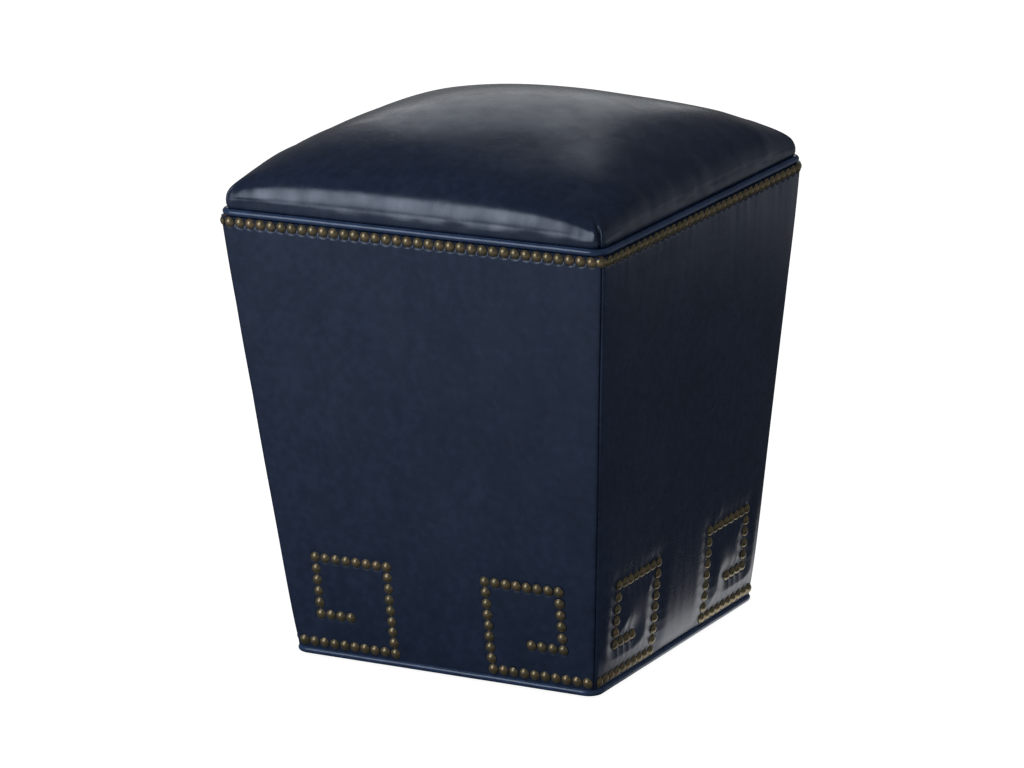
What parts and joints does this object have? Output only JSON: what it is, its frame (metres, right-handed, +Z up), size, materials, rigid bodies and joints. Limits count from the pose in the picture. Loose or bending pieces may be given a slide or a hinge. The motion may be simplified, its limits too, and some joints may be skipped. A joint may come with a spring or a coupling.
{
  "type": "upholstered footstool",
  "caption": "Tapered square leather-covered footstool with a crowned seat, welted edges, a top row of nail heads and Greek key nail corners at the foot.",
  "frame": {"origin": "centre of the footprint, on the floor under the glides", "axes": "+Z up; -Y is the front face of the picture and +X the face to its right; the four faces are alike"},
  "size_m": [0.4418, 0.4418, 0.5659],
  "materials": {
    "leather": "semi-gloss navy leather with a fine grain",
    "welt_leather": "semi-gloss navy leather over cord",
    "nail_brass": "antique brass, darkened",
    "plywood": "raw plywood",
    "hardwood": "raw hardwood",
    "polyester_padding": "bonded polyester wadding",
    "seat_foam": "upholstery foam",
    "dust_cloth": "black cambric",
    "glide_plastic": "matte",
    "screw_steel": "zinc plated"
  },
  "bodies": {
    "root": {"base_rail_back": "hardwood", "base_rail_front": "hardwood", "base_rail_left": "hardwood", "base_rail_right": "hardwood", "corner_post_1": "hardwood", "corner_post_2": "hardwood", "corner_post_3": "hardwood", "corner_post_4": "hardwood", "dust_cover": "dust_cloth", "glide_1": "glide_plastic", "glide_2": "glide_plastic", "glide_3": "glide_plastic", "glide_4": "glide_plastic", "nail_corner_1": "nail_brass", "nail_corner_2": "nail_brass", "nail_corner_3": "nail_brass", "nail_corner_4": "nail_brass", "nails_key_back_left": "nail_brass", "nails_key_back_right": "nail_brass", "nails_key_front_left": "nail_brass", "nails_key_front_right": "nail_brass", "nails_key_left_left": "nail_brass", "nails_key_left_right": "nail_brass", "nails_key_right_left": "nail_brass", "nails_key_right_right": "nail_brass", "nails_top_back": "nail_brass", "nails_top_front": "nail_brass", "nails_top_left": "nail_brass", "nails_top_right": "nail_brass", "panel_back": "plywood", "panel_front": "plywood", "panel_left": "plywood", "panel_right": "plywood", "seat_cover": "leather", "seat_deck": "plywood", "seat_foam": "seat_foam", "seat_screw_1": "screw_steel", "seat_screw_2": "screw_steel", "seat_screw_3": "screw_steel", "seat_screw_4": "screw_steel", "seat_wrap": "polyester_padding", "side_cover_back": "leather", "side_cover_front": "leather", "side_cover_left": "leather", "side_cover_right": "leather", "side_pad_back": "polyester_padding", "side_pad_front": "polyester_padding", "side_pad_left": "polyester_padding", "side_pad_right": "polyester_padding", "top_rail_back": "hardwood", "top_rail_front": "hardwood", "top_rail_left": "hardwood", "top_rail_right": "hardwood", "welt_bottom": "welt_leather", "welt_top": "welt_leather"}
  },
  "joints": []
}
